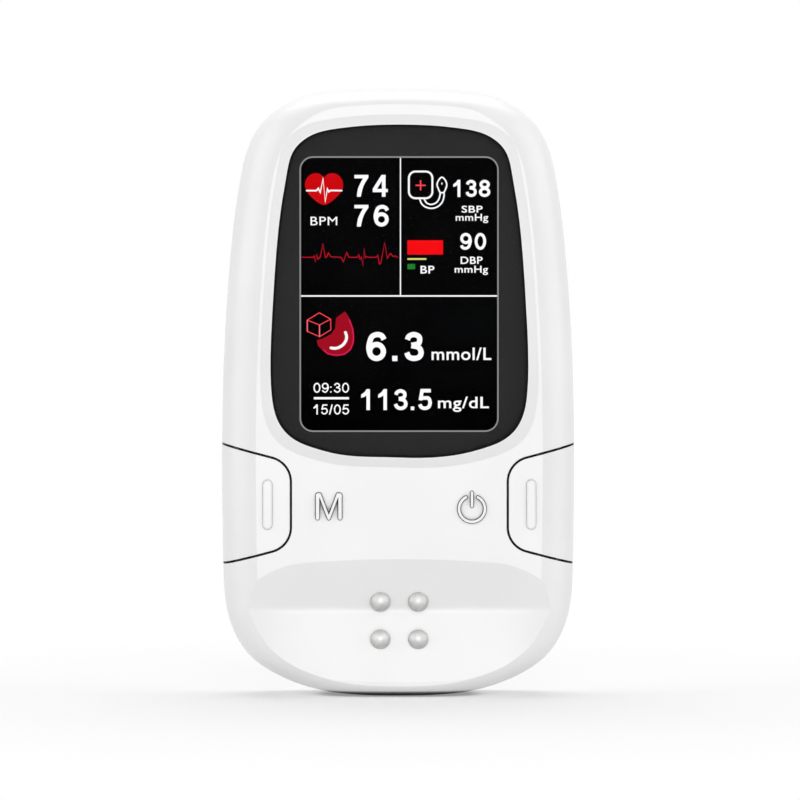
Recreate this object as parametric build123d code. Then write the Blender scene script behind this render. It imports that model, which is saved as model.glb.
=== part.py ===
from build123d import *
import math
import os

# A blood glucose meter standing on its base. Millimetres, front towards -Y, +Z up.
# The origin is the middle of the base, and the half shells part at y = 0.

# Screen and window lens
screen_width = 35.34
screen_height = 48.87
screen_corner = 2.4
lens_border_side = 5.03
lens_border_top = 5.46
lens_border_bottom = 4.34
lens_thickness = 1.0
lens_gap = 0.12  # all round the lens in its seat
lens_below_rim = 0.1
mask_thickness = 0.15
mask_margin = 0.3  # from the lens edge to the printed mask's edge
aperture_margin = 0.8  # housing aperture outside the visible screen

# Raised bezel round the lens
bezel_rise = 0.7
bezel_lip = 0.3  # flat rim, from the lens edge out
bezel_slope = 1.6  # width of the slope from the rim down to the front
bezel_root = 1.1  # how far the bezel is rooted in the front wall

# Housing outline and rolled edges
body_side_margin = 8.7  # from the lens edge to the widest point
body_top_margin = 6.71  # from the lens edge to the top
base_trim = 0.2  # taken off the rounded bottom, so that the meter stands
wall = 2.0
front_roll_side = 8.6
front_roll_top = 4.2
front_roll_bottom = 3.0
rear_roll_side = 7.2
rear_roll_top = 5.2
rear_roll_bottom = 3.4
roll_power = 2.6  # the rolled edges are superellipses of this power
crown_margin = 0.22  # the roll would run on this far past the flat, which leaves a soft crease
roll_sections = 6
lip_height = 1.2  # tongue of the rear shell inside the front shell
lip_thickness = 0.9
lip_gap = 0.12
seam_groove_width = 0.3  # shadow gap round the parting line
seam_groove_depth = 0.25
cutter_reach = 3.0  # how far a cutting solid stands out of what it cuts

# Finger cradle, a shallow trough across the front
cradle_top = 24.49
cradle_bottom = 2.71
cradle_upper_slope = 13.6  # degrees
cradle_lower_slope = 9.5  # degrees
cradle_bottom_radius = 4.0
cradle_middle_radius = 900.0  # the trough is almost straight between its ends
cradle_middle_half = 17.0
cradle_end_radius = 57.0  # and rises faster at both ends

# Electrode domes
electrode_pitch = 6.72
electrode_diameter = 3.4
electrode_rise = 1.05
electrode_seat = 0.3  # above the trough, where the dome meets its stem
electrode_stem = 1.6
electrode_row_height = 13.56  # middle of the two rows
electrode_gap = 0.05

# Keys
keys_above_cradle = 9.66  # from the cradle's top edge to the key row's middle
lens_above_keys = 8.47  # from the key row's middle to the lens
side_key_edge = 19.2  # from the middle plane to the gap beside a side key
side_key_half_height = 7.44  # at that gap
side_key_flare = 14.8  # degrees that the upper and lower gaps open outwards
side_key_corner = 4.4
side_key_gap = 0.4
side_key_rear_gap = 0.7
side_key_travel = 0.4
side_switch_offset = 24.0
rib_offset = 23.35
rib_width = 1.7
rib_length = 8.8
rib_rise = 0.4
rib_edge = 0.32
glyph_gap = 0.1
glyph_rise = 0.5
mode_offset = 12.5
mode_drop = 0.32  # of the letter's middle below the key row's middle
mode_width = 4.6
mode_height = 4.73
mode_upright = 0.62
mode_diagonal = 0.46
mode_corner = 0.3
power_offset = 12.85
power_drop = 0.74
power_ring_radius = 2.3
power_ring_opening = 27.0  # degrees to each side of the bar
power_stroke = 0.46
power_bar_low = 0.44  # above the ring's middle
power_bar_high = 2.87
front_key_travel = 0.35
key_flange_width = 7.0
key_flange_corner = 1.0
key_flange_thickness = 1.0
key_flange_reach = 1.2  # of a side key's flange behind the front wall
key_display_gap = 0.5
key_stop_gap = 0.05

# Tactile switches
switch_size = 5.0
switch_corner = 0.4
switch_height = 1.9
switch_stem_radius = 1.4
switch_stem_gap = 0.15
switch_floor = 0.5

# Display module and boards
panel_width = 41.0
panel_below_screen = 4.8
panel_above_screen = 2.9
panel_thickness = 1.2
backlight_thickness = 1.8
backlight_margin = 0.4
gasket_thickness = 0.5
gasket_width = 1.6
display_gap = 0.4  # from the backlight tray to the board
board_thickness = 1.2
board_width = 40.6
board_bottom = 26.0
board_top_gap = 2.4  # from the board to the inside of the top wall
board_corner = 7.0
board_wing_margin = 0.8  # of the board beyond the side switches
board_wing_height = 12.0
board_wing_corner = 1.5
component_room = 5.3  # from the parting plane to the board
flex_thickness = 0.2
flex_bend_radius = 0.4
display_flex_width = 16.0
display_flex_step = 1.6  # height of each of the ribbon's three runs
sensor_board_width = 26.0
sensor_board_height = 17.0
sensor_board_corner = 1.0
sensor_board_depth = 6.2  # from the parting plane to its rear
sensor_board_thickness = 1.0
sensor_flex_width = 8.0
sensor_flex_overlap = 3.0  # on the sensor board
sensor_flex_end = 0.8  # on the main board
sensor_flex_margin = 0.5  # from a board's edge to the ribbon's bend
post_radius = 1.3
post_inset = 1.95  # from the sensor board's edges

# Parts on the rear of the main board
chip_corner = 0.3
processor_size = 9.0
processor_thickness = 1.2
memory_width = 6.0
memory_height = 5.0
memory_offset = 11.0
memory_drop = 14.0  # below the screen's middle
power_chip_size = 4.0
power_chip_offset = 9.0
power_chip_lift = 2.0  # above the key row's middle
small_chip_thickness = 0.9
buzzer_offset = -9.0
buzzer_radius = 4.5
buzzer_height = 2.6
buzzer_hole_radius = 0.8
buzzer_hole_depth = 0.6

# Battery bay: two size AAA cells side by side
cell_diameter = 10.5
cell_length = 44.5
cell_nub_diameter = 3.8
cell_nub_length = 0.8
cell_edge = 0.5
cell_side_gap = 0.3
cell_floor_gap = 0.2
bay_floor = 1.3
bay_floor_height = 0.3  # top of the floor behind the parting plane
bay_wall = 1.3
bay_bottom = 45.6
contact_thickness = 0.4
contact_width = 7.0
contact_spring_room = 3.4
cell_cover_gap = 0.4
cover_thickness = 1.8
cover_gap = 0.25
cover_seat_gap = 0.2  # under the cover, above its shelf
cover_margin = 2.6  # cover beyond the bay's inside
cover_corner = 2.5
cover_barrel_radius = 1.2
cover_pin_radius = 0.7
cover_pin_length = 1.2
cover_pin_gap = 0.05
cover_scoop_radius = 7.0
cover_scoop_depth = 1.0
grip_grooves = 4
grip_groove_pitch = 1.6
grip_groove_length = 10.0  # of the lowest, and each above it is shorter
grip_groove_step = 1.0
grip_groove_width = 0.7
grip_groove_depth = 0.4
grip_height = 5.0  # of the lowest groove above the cover's lower edge

# Fasteners
case_screw_height_upper = 84.0
case_screw_offset_upper = 22.8
case_screw_height_lower = 10.0
case_screw_offset_lower = 18.6
case_screw_radius = 0.95
case_screw_length = 12.0
case_screw_head_radius = 1.7
case_screw_head_height = 1.3
case_screw_head_depth = 4.5  # from the rear face to the head's seat
boss_radius = 2.1
boss_gap = 0.1
pilot_gap = 0.05
pilot_depth_gap = 0.5  # pilot hole beyond the end of its screw
board_screw_radius = 0.7
board_screw_length = 3.6
board_screw_head_radius = 1.4
board_screw_head_height = 0.9
board_screw_offset_upper = 11.0
board_screw_offset_lower = 5.4
board_screw_inset = 2.6  # from the board's upper or lower edge
board_boss_radius = 1.8
recess_length = 1.6  # cross recess in every screw head
recess_width = 0.4
recess_depth = 0.5

# Places that follow from the sizes above
half_screen = screen_width / 2
lens_half_width = half_screen + lens_border_side
lens_height = lens_border_bottom + screen_height + lens_border_top
key_height = cradle_top + keys_above_cradle
lens_low = key_height + lens_above_keys
lens_high = lens_low + lens_height
screen_low = lens_low + lens_border_bottom
screen_middle = screen_low + screen_height / 2
half_width = lens_half_width + body_side_margin
body_height = lens_high + body_top_margin

board_rear = -component_room
board_front = board_rear - board_thickness
backlight_rear = board_front - display_gap
panel_rear = backlight_rear - backlight_thickness
panel_front = panel_rear - panel_thickness
inner_front = panel_front - gasket_thickness
front_depth = wall - inner_front
rim_depth = front_depth + bezel_rise
lens_front = -(rim_depth - lens_below_rim)
lens_rear = lens_front + lens_thickness
lens_seat = lens_rear + mask_thickness

cell_middle = bay_floor_height + cell_floor_gap + cell_diameter / 2
cell_offset = cell_side_gap / 2 + cell_diameter / 2
bay_half_width = cell_offset + cell_diameter / 2 + cell_side_gap
bay_length = contact_thickness + cell_length + contact_spring_room
bay_top = bay_bottom + bay_length
cover_front = cell_middle + cell_diameter / 2 + cell_cover_gap
rear_depth = cover_front + cover_thickness
hinge_depth = rear_depth - cover_barrel_radius
cover_half_width = bay_half_width + cover_margin
cover_low = bay_bottom - cover_margin
hinge_height = bay_top + cover_margin
cover_room_top = hinge_height + cover_barrel_radius + cover_gap
key_flange_front = inner_front + key_stop_gap
key_flange_rear = key_flange_front + key_flange_thickness

panel_height = panel_below_screen + screen_height + panel_above_screen
panel_middle = screen_low - panel_below_screen + panel_height / 2
board_top = body_height - wall - board_top_gap
board_wing_width = 2 * (side_switch_offset + switch_size / 2 + board_wing_margin)
sensor_board_front = -sensor_board_depth - sensor_board_thickness
sensor_board_low = electrode_row_height - sensor_board_height / 2
case_screw_seat = rear_depth - case_screw_head_depth
case_screw_bite = case_screw_length - case_screw_seat + pilot_depth_gap
beyond = 2 * rim_depth  # further out than any part of the front or the rear

# Half width of the housing at shares of its height, from the base to the top
body_stations = [
    (0.0033, 0.295),
    (0.0132, 0.494),
    (0.0345, 0.686),
    (0.0674, 0.847),
    (0.0921, 0.909),
    (0.1414, 0.972),
    (0.2155, 0.993),
    (0.375, 1.0),
    (0.5855, 0.985),
    (0.7336, 0.949),
    (0.857, 0.892),
    (0.906, 0.847),
    (0.952, 0.744),
    (0.972, 0.648),
    (0.9868, 0.54),
    (0.9967, 0.318),
]

# The same for the window lens
lens_stations = [
    (0.0105, 0.482),
    (0.0285, 0.661),
    (0.0526, 0.809),
    (0.083, 0.899),
    (0.128, 0.961),
    (0.19, 0.991),
    (0.28, 1.0),
    (0.443, 0.984),
    (0.623, 0.953),
    (0.758, 0.914),
    (0.848, 0.875),
    (0.9234, 0.817),
    (0.9535, 0.743),
    (0.9715, 0.661),
    (0.989, 0.463),
    (0.9962, 0.29),
]


def facing_front(y):
    """Plane at y whose sketch axes are X and Z."""
    return Plane(origin=(0, y, 0), x_dir=(1, 0, 0), z_dir=(0, -1, 0))


def slab(sketch, y_from, y_to):
    """Sketch in X and Z made solid from y_from back to y_to."""
    return extrude(facing_front(y_to) * sketch, amount=y_to - y_from)


def at(x, z, sketch):
    return Pos(x, z) * sketch


def mirrored(shape):
    return mirror(shape, about=Plane.YZ)


def outline(stations, half, low, high):
    """Closed smooth outline through the stations, with flat-running top and bottom."""
    span = high - low
    right = [(half * share, low + span * level) for level, share in stations]
    left = [(-x, z) for x, z in reversed(right)]
    return make_face(Spline((0, low), *right, (0, high), *left, periodic=True))


def lens_outline(grow):
    """Outline of the window lens, grown by a margin."""
    return outline(lens_stations, lens_half_width + grow, lens_low - grow, lens_high + grow)


def half_body(facing, depth, roll_side, roll_top, roll_bottom, shrink):
    """One half of the housing, shrunk by a wall, lofted from the parting plane to its flat."""
    crown = depth + crown_margin - shrink
    last = math.asin(((depth - shrink) / crown) ** (roll_power / 2))
    sections = []
    for step in range(roll_sections + 1):
        angle = last * step / roll_sections
        level = crown * math.sin(angle) ** (2 / roll_power)
        inset = 1 - math.cos(angle) ** (2 / roll_power)
        half = half_width - shrink - (roll_side - shrink) * inset
        low = shrink - base_trim + (roll_bottom - shrink) * inset
        high = body_height - shrink - (roll_top - shrink) * inset
        sections.append(facing_front(facing * level) * outline(body_stations, half, low, high))
    return loft(sections)


def front_half(shrink):
    return half_body(
        -1, front_depth, front_roll_side, front_roll_top, front_roll_bottom, shrink
    )


def rear_half(shrink):
    return half_body(1, rear_depth, rear_roll_side, rear_roll_top, rear_roll_bottom, shrink)


def bar(start, end, width):
    """Sketch of a round-ended bar between two points."""
    along = Vector(*end) - Vector(*start)
    middle = (Vector(*start) + Vector(*end)) / 2
    turn = math.degrees(math.atan2(along.Y, along.X))
    return Pos(middle.X, middle.Y) * Rot(0, 0, turn) * SlotOverall(along.length + width, width)


def cradle_tool():
    """Wedge with a rounded bottom, led along a bow that curls forward at both ends."""
    upper = math.tan(math.radians(cradle_upper_slope))
    lower = math.tan(math.radians(cradle_lower_slope))
    deepest_height = (upper * cradle_top + lower * cradle_bottom) / (upper + lower)
    depth = upper * (cradle_top - deepest_height)
    profile = Polygon(
        (-front_depth - cutter_reach, cradle_top + cutter_reach / upper),
        (-front_depth + depth, deepest_height),
        (-front_depth - cutter_reach, cradle_bottom - cutter_reach / lower),
        align=None,
    )
    deepest = profile.vertices().sort_by(Axis.X)[-1]
    wedge = Plane.YZ * fillet(deepest, cradle_bottom_radius)

    middle_axis = Axis((0, -front_depth - cradle_middle_radius, 0), (0, 0, 1))
    middle_turn = math.degrees(cradle_middle_half / cradle_middle_radius)
    start = wedge.rotate(middle_axis, middle_turn)
    middle = revolve(start, axis=middle_axis, revolution_arc=-2 * middle_turn)

    inward = cradle_middle_radius - cradle_end_radius
    end_axis = Axis(
        (
            -inward * math.sin(math.radians(middle_turn)),
            -front_depth - cradle_middle_radius + inward * math.cos(math.radians(middle_turn)),
            0,
        ),
        (0, 0, 1),
    )
    end_turn = math.degrees((half_width - cradle_middle_half + cutter_reach) / cradle_end_radius)
    end = revolve(start, axis=end_axis, revolution_arc=end_turn)
    return middle + [end, mirrored(end)]


def side_key_outline(grow):
    """Right-hand side key's outline on the middle of its gap, grown or shrunk."""
    flare = math.tan(math.radians(side_key_flare))
    far = half_width + cutter_reach
    far_half = side_key_half_height + (far - side_key_edge) * flare
    shape = Polygon(
        (side_key_edge, key_height - side_key_half_height),
        (far, key_height - far_half),
        (far, key_height + far_half),
        (side_key_edge, key_height + side_key_half_height),
        align=None,
    )
    inner = shape.vertices().sort_by(Axis.X)[:2]
    return offset(fillet(inner, side_key_corner), amount=grow)


def mode_glyph(grow):
    """The letter M with flat-topped uprights, grown by a gap."""
    half = mode_width / 2
    high = mode_height / 2
    upright = half - mode_upright / 2
    shoulder = half - mode_upright
    strokes = []
    for side in (-1, 1):
        start = (side * upright, mode_upright / 2 - high)
        strokes.append(bar(start, (side * upright, high), mode_upright + 2 * grow))
        start = (0, mode_diagonal / 2 - high)
        strokes.append(bar(start, (side * shoulder, high), mode_diagonal + 2 * grow))
    letter = (Sketch() + strokes) & RectangleRounded(
        mode_width + 2 * grow, mode_height + 2 * grow, mode_corner + grow
    )
    return at(-mode_offset, key_height - mode_drop, letter)


def power_glyph(grow):
    """An open ring with round ends and a bar in its opening, grown by a gap."""
    half_width_of_line = power_stroke / 2 + grow
    ring = Circle(power_ring_radius + half_width_of_line) - Circle(
        power_ring_radius - half_width_of_line
    )
    reach = 2 * power_ring_radius
    spread = reach * math.tan(math.radians(power_ring_opening))
    ring -= Polygon((0, 0), (-spread, reach), (spread, reach), align=None)
    for angle in (90 - power_ring_opening, 90 + power_ring_opening):
        end = PolarLocations(power_ring_radius, 1, start_angle=angle).locations[0]
        ring += end * Circle(half_width_of_line)
    stroke = bar((0, power_bar_low), (0, power_bar_high), 2 * half_width_of_line)
    return at(power_offset, key_height - power_drop, ring + stroke)


def cylinder_y(x, z, radius, y_from, y_to):
    return slab(at(x, z, Circle(radius)), y_from, y_to)


def both_sides(points):
    return [(sign * x, z) for x, z in points for sign in (-1, 1)]


case_screw_places = both_sides(
    [
        (case_screw_offset_upper, case_screw_height_upper),
        (case_screw_offset_lower, case_screw_height_lower),
    ]
)
board_screw_places = both_sides(
    [
        (board_screw_offset_upper, board_top - board_screw_inset),
        (board_screw_offset_lower, board_bottom + board_screw_inset),
    ]
)
electrode_places = {
    "electrode_upper_left": (-electrode_pitch / 2, electrode_row_height + electrode_pitch / 2),
    "electrode_upper_right": (electrode_pitch / 2, electrode_row_height + electrode_pitch / 2),
    "electrode_lower_left": (-electrode_pitch / 2, electrode_row_height - electrode_pitch / 2),
    "electrode_lower_right": (electrode_pitch / 2, electrode_row_height - electrode_pitch / 2),
}
switch_places = {
    "mode": -mode_offset,
    "power": power_offset,
    "left": -side_switch_offset,
    "right": side_switch_offset,
}

front_outer = front_half(0)
rear_outer = rear_half(0)
cradle = cradle_tool()
cradle_half_wall = Pos(0, wall / 2, 0) * cradle
cradle_inside = Pos(0, wall, 0) * cradle
front_cavity = front_half(wall) - cradle_inside


def bezel():
    """Raised bezel: a sloping ring of the front moulding that carries the lens."""
    base = lens_outline(bezel_lip + bezel_slope)
    rim = lens_outline(bezel_lip)
    slope = loft([facing_front(-front_depth) * base, facing_front(-rim_depth) * rim])
    return slope + slab(base, -front_depth, bezel_root - front_depth)


def front_skin():
    """Front half shell before its openings: outer form, bezel and cradle, less the cavity."""
    return front_outer + bezel() - cradle - front_cavity - base_cut()


def base_cut():
    """Everything below the flat that the meter stands on."""
    return Pos(0, 0, -body_height / 2) * Box(4 * half_width, 4 * rear_depth, body_height)


def seam_groove():
    """Shallow groove all round the parting line, half of it in each shell."""
    outside = outline(
        body_stations, half_width + cutter_reach, -cutter_reach, body_height + cutter_reach
    )
    depth = seam_groove_depth
    inside = outline(body_stations, half_width - depth, depth - base_trim, body_height - depth)
    return slab(outside - inside, -seam_groove_width / 2, seam_groove_width / 2)


def front_shell(skin):
    """Front half shell with its bosses and posts, and every opening cut through it."""
    added = []
    for x, z in case_screw_places:
        boss = cylinder_y(x, z, boss_radius, -front_depth + wall / 2, 0)
        added.append((boss & front_outer) - cradle_half_wall)
    for x, z in board_screw_places:
        added.append(cylinder_y(x, z, board_boss_radius, inner_front - wall / 2, board_front))
    for x, z in sensor_posts():
        post = cylinder_y(x, z, post_radius, inner_front - wall / 4, sensor_board_front)
        added.append(post - cradle_half_wall)

    opening = slab(side_key_outline(side_key_gap / 2), -beyond, wall)
    cuts = [
        slab(lens_outline(lens_gap), -beyond, lens_seat),
        slab(screen_sketch(aperture_margin), -beyond, panel_front),
        opening,
        mirrored(opening),
        slab(mode_glyph(glyph_gap), -beyond, inner_front + wall),
        slab(power_glyph(glyph_gap), -beyond, inner_front + wall),
        seam_groove(),
    ]
    for x, z in electrode_places.values():
        hole = electrode_stem + electrode_gap
        cuts.append(cylinder_y(x, z, hole, -beyond, sensor_board_front))
    for x, z in case_screw_places:
        cuts.append(cylinder_y(x, z, case_screw_radius + pilot_gap, -case_screw_bite, wall))
    for x, z in board_screw_places:
        pilot_end = board_rear - board_screw_length - pilot_depth_gap
        cuts.append(cylinder_y(x, z, board_screw_radius + pilot_gap, pilot_end, wall))
    return (skin + added) - cuts


def sensor_posts():
    """Four posts behind the cradle that the sensor board rests on."""
    x = sensor_board_width / 2 - post_inset
    z = sensor_board_height / 2 - post_inset
    return both_sides([(x, electrode_row_height + z), (x, electrode_row_height - z)])


def side_key(skin):
    """Right-hand side key: a piece of the shell's own skin, with a stop flange behind it."""
    face = side_key_outline(-side_key_gap / 2)
    key = skin & slab(face, -beyond, -side_key_rear_gap)
    flat_side = half_width - front_roll_side + rib_width
    keep = Pos(flat_side / 2, 0) * Rectangle(flat_side, 4 * body_height)
    neck = slab(face & keep, inner_front - wall / 4, key_flange_rear) & front_outer
    flange = slab(
        side_key_outline(key_flange_reach) & keep, key_flange_front, key_flange_rear
    )
    display_room = slab(
        at(
            0,
            panel_middle,
            Rectangle(panel_width + 2 * key_display_gap, panel_height + 2 * key_display_gap),
        ),
        key_flange_front - key_stop_gap,
        wall,
    )
    key += [neck - display_room, flange - display_room]
    rib = at(rib_offset, key_height, Rot(0, 0, 90) * SlotOverall(rib_length, rib_width))
    ridge = slab(rib, -front_depth - rib_rise, -front_depth + wall / 2)
    ridge = fillet(ridge.faces().sort_by(Axis.Y)[0].edges(), rib_edge)
    return key + ridge


def front_key(glyph, x):
    """A glyph that stands through the front wall, on a square stop flange."""
    raised = slab(glyph, -front_depth - glyph_rise, key_flange_front)
    flange = RectangleRounded(key_flange_width, key_flange_width, key_flange_corner)
    return raised + slab(at(x, key_height, flange), key_flange_front, key_flange_rear)


def switch_housing(x):
    base = at(x, key_height, RectangleRounded(switch_size, switch_size, switch_corner))
    housing = slab(base, board_front - switch_height, board_front)
    well = switch_stem_radius + switch_stem_gap
    return housing - cylinder_y(x, key_height, well, -beyond, board_front - switch_floor)


def switch_stem(x, travel):
    end = board_front - switch_floor - travel - switch_stem_gap
    return cylinder_y(x, key_height, switch_stem_radius, key_flange_rear, end)


def window_lens():
    lens = slab(lens_outline(0), lens_front, lens_rear)
    return chamfer(lens.faces().sort_by(Axis.Y)[0].edges(), lens_below_rim)


def screen_sketch(grow):
    shape = RectangleRounded(
        screen_width + 2 * grow, screen_height + 2 * grow, screen_corner + grow
    )
    return at(0, screen_middle, shape)


def window_mask():
    film = lens_outline(-mask_margin) - screen_sketch(0)
    return slab(film, lens_rear, lens_seat)


def display_gasket():
    ring = screen_sketch(aperture_margin + gasket_width) - screen_sketch(aperture_margin)
    return slab(ring, inner_front, panel_front)


def display_panel():
    glass = at(0, panel_middle, Rectangle(panel_width, panel_height))
    return slab(glass, panel_front, panel_rear)


def display_backlight():
    """Shallow tray behind the panel, open in the middle for its light guide."""
    outer = Rectangle(panel_width - 2 * backlight_margin, panel_height - 2 * backlight_margin)
    tray = slab(at(0, panel_middle, outer), panel_rear, backlight_rear)
    return tray - slab(screen_sketch(0), panel_rear, backlight_rear - backlight_margin)


def display_flex():
    """Ribbon from the panel's lower edge down to the board's front."""
    step = display_flex_step
    low = panel_middle - panel_height / 2
    start = backlight_rear - backlight_thickness / 2
    end = board_front - flex_thickness / 2
    path = FilletPolyline(
        (start, low),
        (start, low - step),
        (end, low - 2 * step),
        (end, low - 3 * step),
        radius=flex_bend_radius,
    )
    strip = Plane.YZ * trace(path, line_width=flex_thickness)
    return extrude(strip, amount=display_flex_width / 2, both=True)


def sensor_flex():
    """Ribbon from the sensor board's rear up to the main board's rear."""
    start = -sensor_board_depth + flex_thickness / 2
    end = board_rear + flex_thickness / 2
    sensor_top = sensor_board_low + sensor_board_height
    path = FilletPolyline(
        (start, sensor_top - sensor_flex_overlap),
        (start, sensor_top + sensor_flex_margin),
        (end, board_bottom - sensor_flex_margin),
        (end, board_bottom + sensor_flex_end),
        radius=flex_bend_radius,
    )
    strip = Plane.YZ * trace(path, line_width=flex_thickness)
    return extrude(strip, amount=sensor_flex_width / 2, both=True)


def main_board():
    height = board_top - board_bottom
    plate = at(
        0,
        board_bottom + height / 2,
        RectangleRounded(board_width, height, board_corner),
    )
    square = at(0, board_bottom + height / 4, Rectangle(board_width, height / 2))
    wings = at(
        0, key_height, RectangleRounded(board_wing_width, board_wing_height, board_wing_corner)
    )
    board = slab(plate + square + wings, board_front, board_rear)
    for x, z in board_screw_places:
        board -= cylinder_y(x, z, board_screw_radius + pilot_gap, -beyond, beyond)
    return board


def sensor_board():
    plate = at(
        0,
        sensor_board_low + sensor_board_height / 2,
        RectangleRounded(sensor_board_width, sensor_board_height, sensor_board_corner),
    )
    return slab(plate, sensor_board_front, -sensor_board_depth)


def electrode(x, z):
    """Domed metal button on a stem that reaches the sensor board."""
    radius = electrode_diameter / 2
    upper = math.tan(math.radians(cradle_upper_slope))
    lower = math.tan(math.radians(cradle_lower_slope))
    sunk = min(upper * (cradle_top - z), lower * (z - cradle_bottom))
    seat = -front_depth + sunk - electrode_seat
    sphere_radius = (radius**2 + electrode_rise**2) / (2 * electrode_rise)
    ball = Pos(x, seat - electrode_rise + sphere_radius, z) * Sphere(sphere_radius)
    cap = ball & cylinder_y(x, z, radius, -beyond, seat)
    stem = cylinder_y(x, z, electrode_stem, seat, sensor_board_front)
    return cap + stem


def chip(x, z, width, height, thickness):
    body = RectangleRounded(width, height, chip_corner)
    return slab(at(x, z, body), board_rear, board_rear + thickness)


def buzzer():
    top = board_rear + buzzer_height
    can = cylinder_y(buzzer_offset, key_height, buzzer_radius, board_rear, top)
    return can - cylinder_y(
        buzzer_offset, key_height, buzzer_hole_radius, top - buzzer_hole_depth, beyond
    )


def screw(x, z, radius, length, head_radius, head_height, seat):
    """Pan-head screw driven towards the front, with a cross recess in its head."""
    head = cylinder_y(x, z, head_radius, seat, seat + head_height)
    head = fillet(head.faces().sort_by(Axis.Y)[-1].edges(), head_height / 3)
    recess = Rectangle(recess_length, recess_width) + Rectangle(recess_width, recess_length)
    head -= slab(at(x, z, recess), seat + head_height - recess_depth, beyond)
    return head + cylinder_y(x, z, radius, seat - length, seat)


def case_screws():
    return Compound(
        [
            screw(
                x,
                z,
                case_screw_radius,
                case_screw_length,
                case_screw_head_radius,
                case_screw_head_height,
                case_screw_seat,
            )
            for x, z in case_screw_places
        ]
    )


def board_screws():
    return Compound(
        [
            screw(
                x,
                z,
                board_screw_radius,
                board_screw_length,
                board_screw_head_radius,
                board_screw_head_height,
                board_rear,
            )
            for x, z in board_screw_places
        ]
    )


def cover_sketch(grow, high):
    """Outline of the battery cover up to a height, square at its hinge, grown by a gap."""
    width = 2 * (cover_half_width + grow)
    low = cover_low - grow
    height = high - low
    rounded = RectangleRounded(width, height, cover_corner + grow)
    square_half = at(0, height / 4, Rectangle(width, height / 2))
    return at(0, low + height / 2, rounded + square_half)


def cylinder_x(y, z, radius, x_from, x_to):
    disc = Plane(origin=(x_from, y, z), x_dir=(0, 1, 0), z_dir=(1, 0, 0)) * Circle(radius)
    return extrude(disc, amount=x_to - x_from)


def battery_cover():
    """Rear door with a full-round barrel along its top edge and a pin at each end."""
    cover = slab(cover_sketch(0, hinge_height), cover_front, rear_depth)
    cover += cylinder_x(
        hinge_depth, hinge_height, cover_barrel_radius, -cover_half_width, cover_half_width
    )
    pin_end = cover_half_width + cover_pin_length
    cover += cylinder_x(hinge_depth, hinge_height, cover_pin_radius, -pin_end, pin_end)
    for step in range(grip_grooves):
        length = grip_groove_length - grip_groove_step * step
        height = cover_low + grip_height + grip_groove_pitch * step
        groove = at(0, height, SlotOverall(length, grip_groove_width))
        cover -= slab(groove, rear_depth - grip_groove_depth, beyond)
    return cover


def bay_block():
    """Solid that the battery bay is cut from: walls, floor and the shelf under the cover."""
    outer = bay_half_width + bay_wall
    low = bay_bottom - bay_wall
    high = bay_top + bay_wall
    well = slab(
        at(0, (low + high) / 2, Rectangle(2 * outer, high - low)),
        bay_floor_height - bay_floor,
        cover_front,
    )
    shelf = slab(
        cover_sketch(cover_gap + bay_wall, cover_room_top + bay_wall),
        cover_front - cover_seat_gap - bay_wall,
        cover_front,
    )
    return well + shelf


def lip():
    """Tongue round the rear shell's edge that stands inside the front shell."""
    def ring_outline(inset):
        return outline(
            body_stations, half_width - inset, inset - base_trim, body_height - inset
        )

    outer = wall + lip_gap
    inner = ring_outline(outer + lip_thickness)
    tongue = slab(ring_outline(outer) - inner, -lip_height, 0)
    root = slab(ring_outline(wall / 2) - inner, 0, lip_thickness)
    return [tongue, root]


def rear_shell():
    """Rear half shell with its lip, screw bosses and the battery bay let into it."""
    shell = rear_outer - rear_half(wall)
    bosses = [
        cylinder_y(x, z, boss_radius, boss_gap, rear_depth - wall / 2) & rear_outer
        for x, z in case_screw_places
    ]
    shell += [*lip(), bay_block(), *bosses]

    bay_middle = (bay_bottom + bay_top) / 2
    room = cover_half_width + cover_gap
    pin_end = room + cover_pin_length
    cuts = [
        slab(
            at(0, bay_middle, Rectangle(2 * bay_half_width, bay_length)),
            bay_floor_height,
            beyond,
        ),
        slab(cover_sketch(cover_gap, cover_room_top), cover_front - cover_seat_gap, beyond),
        cylinder_x(hinge_depth, hinge_height, cover_barrel_radius + cover_gap, -room, room),
        cylinder_x(
            hinge_depth, hinge_height, cover_pin_radius + cover_pin_gap, -pin_end, pin_end
        ),
        Pos(0, rear_depth + cover_scoop_radius - cover_scoop_depth, cover_low)
        * Sphere(cover_scoop_radius),
    ]
    for x, z in case_screw_places:
        cuts.append(cylinder_y(x, z, case_screw_radius + boss_gap, -beyond, beyond))
        head_room = case_screw_head_radius + 2 * boss_gap
        cuts.append(cylinder_y(x, z, head_room, case_screw_seat, beyond))
    return shell - [*cuts, seam_groove(), base_cut()]


def battery_cell(x, up):
    """Size AAA cell with its nub at the top or the bottom."""
    low = bay_bottom + (contact_spring_room if up else contact_thickness)
    can_length = cell_length - cell_nub_length
    can_low = low if up else low + cell_nub_length
    nub_low = low + can_length if up else low
    can = Pos(x, cell_middle, can_low) * Cylinder(
        cell_diameter / 2, can_length, align=(Align.CENTER, Align.CENTER, Align.MIN)
    )
    can = fillet(can.edges().filter_by(GeomType.CIRCLE), cell_edge)
    nub = Pos(x, cell_middle, nub_low) * Cylinder(
        cell_nub_diameter / 2, cell_nub_length, align=(Align.CENTER, Align.CENTER, Align.MIN)
    )
    return can + nub


def flat_contact(x, low):
    """Flat contact plate across one cell's end."""
    plate = Box(
        contact_width,
        contact_width,
        contact_thickness,
        align=(Align.CENTER, Align.CENTER, Align.MIN),
    )
    return Pos(x, cell_middle, low) * plate


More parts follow.
